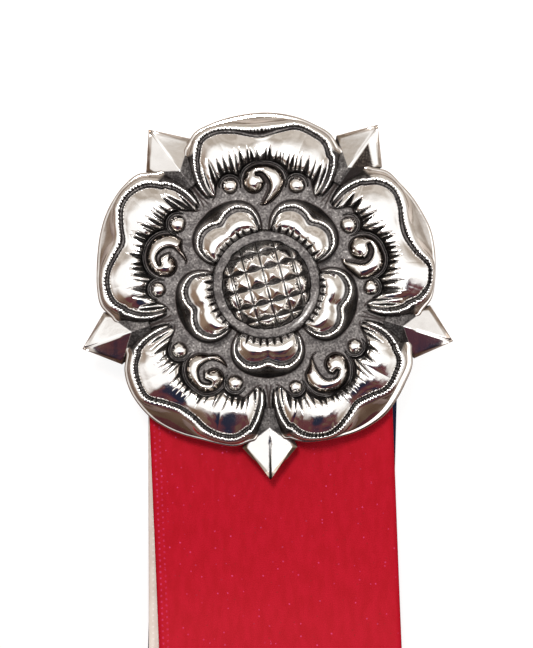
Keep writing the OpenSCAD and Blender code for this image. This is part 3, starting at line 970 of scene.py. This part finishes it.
def sepalMesh(plan, degrees):
    (root, _), (side, sideHalf), (tip, _) = plan["outline"]
    inner, outer = plan["rows"]
    out = np.concatenate([np.linspace(root, side, inner)[:-1], np.linspace(side, tip, outer)])[:, None]
    half = np.interp(out, *zip(*plan["outline"]))
    peak, falls, low = plan["ridge"]
    ridgeLine = (falls, tip), (peak, low)
    ridge = np.interp(out, *ridgeLine)
    knee, kneeHeight = plan["facetEdge"]
    facets, bevels = plan["columns"]
    beyond = np.linspace(knee, 1, bevels)[1:]
    share = np.concatenate([-beyond[::-1], np.linspace(-knee, knee, facets), beyond])
    flat = np.abs(share)

    # each side is one flat facet, with a bevel along its edge
    fall = (np.interp(side, *ridgeLine) - kneeHeight) / sideHalf
    kneeHeight = np.where(out < side, np.maximum(ridge - fall * half, kneeHeight), kneeHeight)
    edge, flattens, least = plan["edge"]
    drop = (edge - kneeHeight) * np.interp(out, (root, flattens, tip), (1, 1, least))
    facet = ridge + (kneeHeight - ridge) * flat / knee
    z = np.where(flat <= knee, facet, kneeHeight + drop * (flat - knee) / (1 - knee))
    width, depth, begins, full = plan["crease"]
    z = z - depth * bell(flat * half, 0, width) * smooth(out, begins, full)
    off = share * half
    base = stacked(half * (1, -1, -1), out, z[:, :1] * (0, 0, 1))
    points = np.concatenate([stacked(off, out, z), base], 1)

    slant, low, high = plan["root"]
    greyOxideAndShade = 1 - smooth(points[..., 1] - slant * np.abs(points[..., 0]), low, high)
    # the crease is blackened: painted shade and black oxide
    darkOxideAndShade, widths = plan["darkOxideAndShade"]
    line = bell(flat * half, 0, np.interp(out, plan["darkOxideAndShadePlaces"], widths))
    blackOxideAndShade = darkOxideAndShade * line * smooth(out, begins + 0.2, full + 0.2)
    bevelled = np.maximum(flat > knee, 1 - smooth((1 - flat) * half, *plan["bevel"]))
    shade = 0.25 * (share < 0) + plan["bevelShade"] * bevelled
    shade = np.maximum(shade, 0.55 * smooth(out, 18.3, 19.6))
    # painted dark reflection: the right facet of the upper right sepal is black and brown beside the petals
    darkReflection, slant, low, high = plan["darkReflection"]
    if darkReflection:
        blackOxideAndShade = np.maximum(blackOxideAndShade, darkReflection * smooth(off, 0.2, 0.35) * (1 - smooth(out + slant * off, low, high)))
        shade = np.maximum(shade, blackOxideAndShade * 1.35)
    blackOxideAndShade, shade = [np.pad(mark, ((0, 0), (0, 3))) for mark in (blackOxideAndShade, shade)]
    return moldedGrid("sepal", intoRose(points, degrees), {"greyOxideAndShade": greyOxideAndShade, "blackOxideAndShade": blackOxideAndShade, "shade": shade})


parts = []
for turn in (36, 108, 180, 252, 324):
    parts.append(sepalMesh({**sepalPlan, **sepalHands.get(turn, {})}, turn))
finishSilver(joinMeshes("sepals", parts))
print("sepals made")

# The boss is part of a ball, cut into pyramids on a square net that is turned
bossPlan = {
    "radius": 4.55,
    "top": 5.0,
    "ring": 2.6,
    "pitch": 1.8,
    "cells": 6,
    "turn": 14,
    "height": (0.62, 0.85, 1.1, 0.4),  # a pyramid's, the least and greatest share of it, its share at the rim
    "flattens": (3.3, 4.5),  # mm from the middle
    "samples": 26,  # along one cell
    "groove": (0.84, 0.1),  # share of the way to a cell's edge where it begins, depth
    "upright": 0.74,  # how dark the upright grooves are, as a share of the level ones
    "lens": (0.27, 0.05),  # dark lens at a cell's lower edge: half its height, depth
    "beyond": 0.4,  # mm outside the radius that the ball goes on, under the ring
    "bottom": 0.8,
}


def bossMesh(plan):
    rise = plan["top"] - plan["ring"]
    ball = (plan["radius"] ** 2 + rise**2) / (2 * rise)
    half = plan["cells"] / 2
    net = np.linspace(-half, half, plan["cells"] * plan["samples"] + 1)
    flat = ball * np.sin(np.clip(net * plan["pitch"] / ball, -1.4, 1.4))
    x, y = np.meshgrid(flat, flat, indexing="ij")
    places = np.meshgrid(net, net, indexing="ij")
    inA, inB = [c - np.floor(c) - 0.5 for c in places]
    cell = tuple(np.floor(c + half).astype(int) for c in places)
    edge = ((2 * np.abs(inA)) ** 7 + (2 * np.abs(inB)) ** 7) ** (1 / 7)
    reach = np.hypot(x, y)
    height, least, greatest, atRim = plan["height"]
    size = np.random.default_rng(5).uniform(least, greatest, (plan["cells"] + 2, plan["cells"] + 2))
    size = height * size[cell] * (1 - (1 - atRim) * smooth(reach, *plan["flattens"]))
    grooveFrom, grooveDepth = plan["groove"]
    lensHigh, lensDepth = plan["lens"]
    lens = smooth(-inB - 0.5 + lensHigh * (1 - (2 * inA) ** 2), 0, 0.05)
    z = plan["top"] - ball + np.sqrt(np.maximum(ball**2 - reach**2, 0.3))
    z = z + size * (1 - np.clip(edge, 0, 1) ** 1.45)
    z = z - grooveDepth * smooth(edge, grooveFrom, 1) - lensDepth * lens

    x, y = turned(x, y, plan["turn"])
    level, upright = [smooth(2 * np.abs(c), grooveFrom, 1) for c in (inB, inA)]
    groove = np.maximum(level, upright * plan["upright"])
    upperLeft = 0.45 * smooth(y - 0.5 * x, 3.0, 3.9)
    # the grooves are grey and black, oxide and painted shade; the lenses, the upper left and the outer edge
    # are grey as well
    greyOxideAndShade = np.maximum.reduce([groove * 1.2, lens, upperLeft, 0.8 * smooth(reach, 4.25, 4.6)])
    points = intoRose(stacked(x, y, z), 0)
    mesh = moldedGrid("boss", points, {"greyOxideAndShade": greyOxideAndShade, "blackOxideAndShade": groove * 0.42}, capped=False)
    shell = openShell(mesh)
    middle = Vector((0, rose["y"] * mm, 0))
    limit = (plan["radius"] + plan["beyond"]) * mm
    beyond = [f for f in shell.faces if (f.calc_center_median() - middle).xy.length > limit]
    bmesh.ops.delete(shell, geom=beyond, context="FACES")
    rimEdges = [e for e in shell.edges if e.is_boundary]
    skirt = bmesh.ops.extrude_edge_only(shell, edges=rimEdges)["geom"]
    for vert in [g for g in skirt if isinstance(g, bmesh.types.BMVert)]:
        vert.co.z = (rose["z"] + plan["bottom"]) * mm
    closeShell(shell, mesh)
    return mesh


finishSilver(bossMesh(bossPlan))
print("boss made")

# The ground between the petals, and the flat ring round the boss. Rows: radius, height, steps
groundPlan = {
    "rows": [
        (4.2, 0.6, 1), (4.2, 2.3, 2), (4.35, 2.5, 3), (4.6, 2.6, 8), (5.4, 2.6, 2), (5.62, 2.5, 1),
        (5.66, 1.6, 30), (9.6, 1.6, 40), (13.4, 1.6, 2), (13.6, 1.5, 1), (13.6, 0.6, 8), (4.2, 0.6, 1),
    ],
    "around": 540,
    "line": 0.12,  # mm, width of the dark lines at the foot of the relief, painted shade and black oxide
    "ring": 5.0,  # radius of the middle of the ring
    "worn": (-40, 60, 0.5),  # the ring: turn where it is worn most, how far round, how much
}


def groundMesh(plan):
    places = stepPlaces(plan["rows"], 2)
    r, z, _ = [np.interp(places, range(len(plan["rows"])), column) for column in zip(*plan["rows"])]
    turn = np.linspace(0, 2 * math.pi, plan["around"])[:, None]
    points = stacked(np.cos(turn) * r, np.sin(turn) * r, z)
    outline = np.concatenate(footprints)
    tree = KDTree(len(outline))
    for i, p in enumerate(outline):
        tree.insert((*p, 0), i)
    tree.balance()
    near = [[tree.find((px, py, 0))[2] for px, py, _ in row] for row in points]
    # black lines round the foot of the relief: painted shade and black oxide
    blackOxideAndShade = 0.95 * bell(np.array(near), 0, plan["line"])
    blackOxideAndShade = np.where(np.abs(r - plan["ring"]) < 0.55, blackOxideAndShade * 0.4, blackOxideAndShade)
    mostWorn, wide, worn = plan["worn"]
    degrees = np.degrees(turn)
    greyOxideAndShade = 1 - worn * bell(degrees - 360 * (degrees > 140), mostWorn, wide) * bell(r, plan["ring"], 0.4)
    return moldedGrid("ground", intoRose(points, 0), {"greyOxideAndShade": greyOxideAndShade, "blackOxideAndShade": blackOxideAndShade})


finishSilver(groundMesh(groundPlan))
print("ground made")

# Ribbons: each lies in its own slab of the solid model. Lengths in mm
ribbonPlan = {
    "width": 25,
    "thick": 0.5,
    "slab": 1.0,
    "above": 9,  # reach above the rose's middle
    "drop": 39.2,  # and below it
    "bend": (9, 35),  # below the rose's middle, where it sinks towards the surface
    "across": 42,
    "along": 120,
}


def makeRibbonMaterial(name, plan):
    material, paint = newMaterial(name)
    uv = paint.make("UVMap", {"uv_map": "weave"})
    across, along = uv.parts()
    mottle = uv.stretch((1, 0.35, 1), 0.6).noise(1.3, 3.0)
    grain = uv.noise(5.0, 2.0)
    cells = {"Vector": uv, "Scale": 1.9}
    small = 1 - paint.make("TexVoronoi", values=cells).rise(0.1, 0.22)
    hues = paint.make("TexVoronoi", values=cells, outlet=1).parts()
    pale, dim = [small * part.rise(0.72, 0.9) for part in hues]
    colour = mottle.rise(0.3, 0.7).blend(plan["base"], plan["shade"])
    colour = (grain.rise(0.45, 0.75) * 0.35).blend(colour, plan["shade"])
    colour = (pale * plan["spotted"]).blend(colour, plan["pale"])
    colour = (dim * plan["spotted"] * 0.8).blend(colour, plan["dim"])

    def dots(place, start):  # a row of dots along the left edge
        beat = (along * (2 * math.pi / 0.62) + start).wave().rise(0.2, 0.8)
        return beat * (1 - abs(across - place).rise(0.05, 0.13))

    selvedge = (dots(0.45, 0.0) + dots(0.95, 2.4) * 0.7) * grain.rise(0.3, 0.6)
    thread = uv.stretch((0.5, 1.6, 1)).noise(7.0, 2.0)
    setShader(material, {
        "Base Color": (selvedge * plan["dotted"]).blend(colour, plan["pale"]),
        "Roughness": 0.62,
        "Specular IOR Level": 0.08,
        "Sheen Weight": 0.04,
        "Sheen Roughness": 0.4,
        "Normal": (thread + grain * 0.8).bump(0.00002, 0.6),
    })
    return material


# Each ribbon's turn to the right and its place across at the rose's middle, and its colours
ribbonLooks = {
    "red": {"lie": (2.27, -0.06), "base": (0.365, 0.0035, 0.0145), "shade": (0.325, 0.0025, 0.01),
            "pale": (0.6, 0.06, 0.2), "dim": (0.2, 0.01, 0.01), "spotted": 0.6, "dotted": 0.45},
    "white": {"lie": (0, 0.35), "base": (0.62, 0.55, 0.5), "shade": (0.56, 0.48, 0.43),
              "pale": (0.75, 0.72, 0.7), "dim": (0.45, 0.38, 0.34), "spotted": 0.3, "dotted": 0.6},
    "blue": {"lie": (-1.4, 1.19), "base": (0.012, 0.02, 0.055), "shade": (0.008, 0.014, 0.04),
             "pale": (0.06, 0.08, 0.15), "dim": (0.004, 0.006, 0.02), "spotted": 0.4, "dotted": 0.5},
}


def makeRibbon(colourName, look, plan):
    name = "ribbon_" + colourName
    turn, place = look["lie"]
    low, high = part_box(name)
    top = high.z / mm - plan["slab"] / 2
    bottom = low.z / mm + plan["slab"] / 2
    half = plan["width"] / 2
    a = math.radians(turn)
    end = -(plan["drop"] - half * math.sin(abs(a))) / math.cos(a)
    y = np.linspace(plan["above"], end, plan["along"])
    z = top + (bottom - top) * smooth(-y, *plan["bend"])
    run = wayAlong(stacked(y, z))
    u = np.linspace(-half, half, plan["across"])
    sway = 0.05 * np.sin(y[:, None] * 0.35 + turn) * np.cos(u * 0.16 + turn)
    edgeRoll = 0.05 * bell(half - np.abs(u), 0, 0.4)
    flatX, flatY = turned(u, y[:, None], turn)
    points = stacked(flatX + place, flatY + rose["y"], z[:, None] + sway + edgeRoll) * mm
    mesh = moldedGrid(name + "_cloth", points, {}, capped=False)
    if sum(face.normal.z for face in mesh.polygons) < 0:
        mesh.flip_normals()

    # the weave lies across and along the cloth, in mm
    weave = mesh.uv_layers.new(name="weave")
    corner = np.empty(len(mesh.loops), int)
    mesh.loops.foreach_get("vertex_index", corner)
    cornerX, cornerY, _ = vertexPlaces(mesh)[corner].T / mm
    localX, localY = turned(cornerX - place, cornerY - rose["y"], -turn)
    uv = stacked(localX + half, np.interp(-localY, -y, run))
    weave.data.foreach_set("uv", uv.astype(np.float32).ravel())
    piece = finishPiece(mesh, makeRibbonMaterial(name, look), name)
    wall = piece.modifiers.new("thickness", "SOLIDIFY")
    wall.thickness = plan["thick"] * mm
    wall.offset = 0


for colourName, look in ribbonLooks.items():
    makeRibbon(colourName, look, ribbonPlan)
print("ribbons made")

pinPlan = {"colour": (0.72, 0.7, 0.67), "roughness": 0.28}


def dressPin(plan):
    material, paint = newMaterial("pin_silver")
    place = paint.make("TexCoord", outlet=3)
    lines = place.stretch((0.1, 1, 1)).noise(6000.0, 2.0)
    dull = tuple(0.6 * c for c in plan["colour"])
    setShader(material, {
        "Base Color": place.noise(700.0, 2.0).rise(0.35, 0.75).blend(plan["colour"], dull),
        "Metallic": 1.0,
        "Roughness": lines * 0.2 + (plan["roughness"] - 0.1),
        "Normal": lines.bump(0.00001, 0.4),
    })
    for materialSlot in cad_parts["pin"].material_slots:
        materialSlot.material = material


dressPin(pinPlan)
print("pin dressed")
